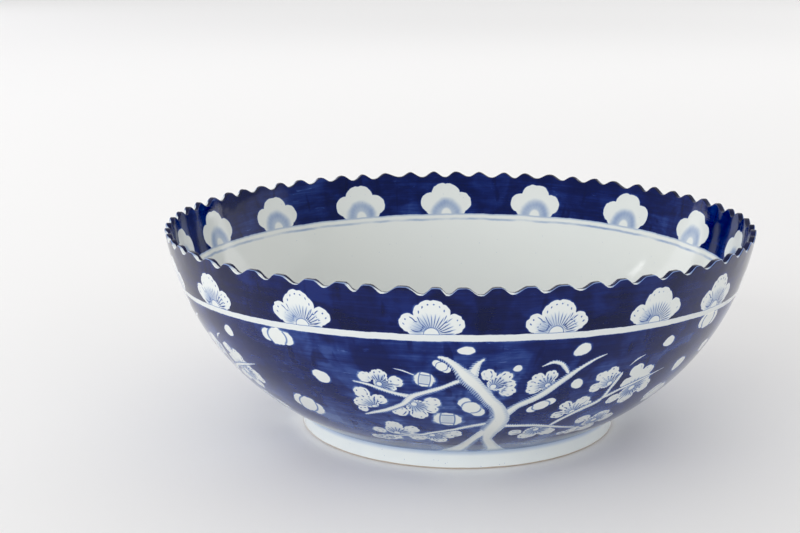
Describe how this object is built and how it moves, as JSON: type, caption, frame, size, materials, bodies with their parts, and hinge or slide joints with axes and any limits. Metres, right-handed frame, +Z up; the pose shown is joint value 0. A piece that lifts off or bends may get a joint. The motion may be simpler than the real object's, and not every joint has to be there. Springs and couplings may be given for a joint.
{
  "type": "serving bowl",
  "caption": "Large round porcelain serving bowl with a toothed rim, a ring foot and white blossom painted over a deep cobalt ground.",
  "frame": {"origin": "centre of the circle that the foot rests on", "axes": "+Z up along the axis of the bowl; -Y is the side with the middle of a painted tree"},
  "size_m": [0.384, 0.384, 0.136],
  "materials": {
    "painted_glaze": "gloss",
    "foot_glaze": "gloss"
  },
  "bodies": {
    "root": {"lower_bowl": "painted_glaze", "rim_wall": "painted_glaze", "foot_ring": "foot_glaze"}
  },
  "joints": []
}
